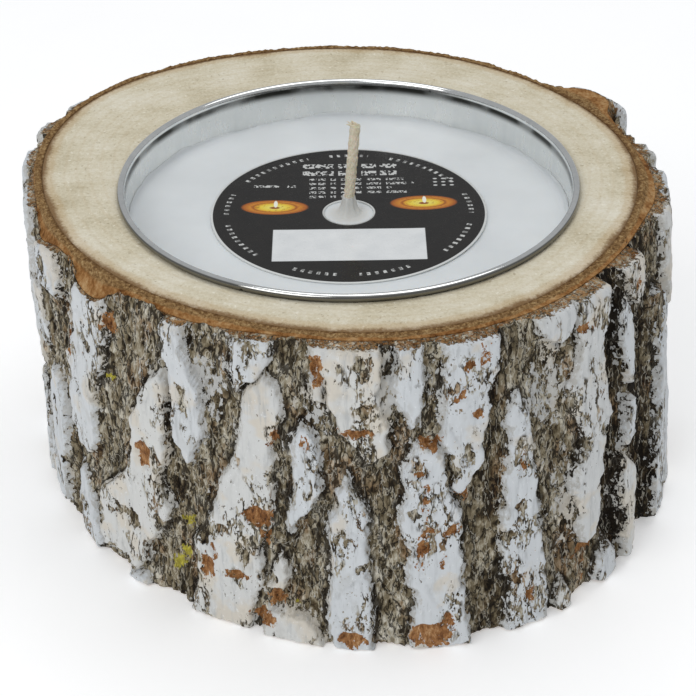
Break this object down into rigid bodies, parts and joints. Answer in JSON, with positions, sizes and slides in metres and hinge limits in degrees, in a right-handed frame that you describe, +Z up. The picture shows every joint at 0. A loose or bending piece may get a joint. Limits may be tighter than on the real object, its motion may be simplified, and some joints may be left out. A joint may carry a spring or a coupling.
{
  "type": "log candle holder",
  "caption": "Bark-covered log slice with a bored pocket that holds a lift-out round tin of wax with a wick and a loose card label.",
  "frame": {"origin": "middle of the underside of the whole piece, on the surface it stands on", "axes": "+Z up through the log, -Y towards the front, where the tin's pocket is nearer the edge, +X to the right"},
  "size_m": [0.1606, 0.1604, 0.0973],
  "materials": {
    "sawn_wood": "rough sawn, raw",
    "bast": "fibrous, raw",
    "cork_bark": "deeply furrowed, raw",
    "whitewashed_bark": "chalky white paint over bark, chipped",
    "tinplate": "bright tinplate",
    "wax": "smooth paraffin wax, slightly translucent",
    "wick_cotton": "waxed braided cotton",
    "tab_metal": "stamped",
    "label_card": "coated card, glossy print"
  },
  "bodies": {
    "holder": {"wood_core": "sawn_wood", "inner_bark": "bast", "outer_bark": "cork_bark", "bark_plates": "whitewashed_bark"},
    "refill": {"tin_cup": "tinplate", "wax_fill": "wax", "wick": "wick_cotton", "wick_tab": "tab_metal"},
    "label": {"label": "label_card"}
  },
  "joints": [
    {"name": "refill_lift", "type": "slide", "parent": "holder", "child": "refill", "axis": [0, 0, 1], "range_m": [0, 0.05]},
    {"name": "label_lift", "type": "slide", "parent": "refill", "child": "label", "axis": [0, 0, 1], "range_m": [0, 0.04]}
  ]
}
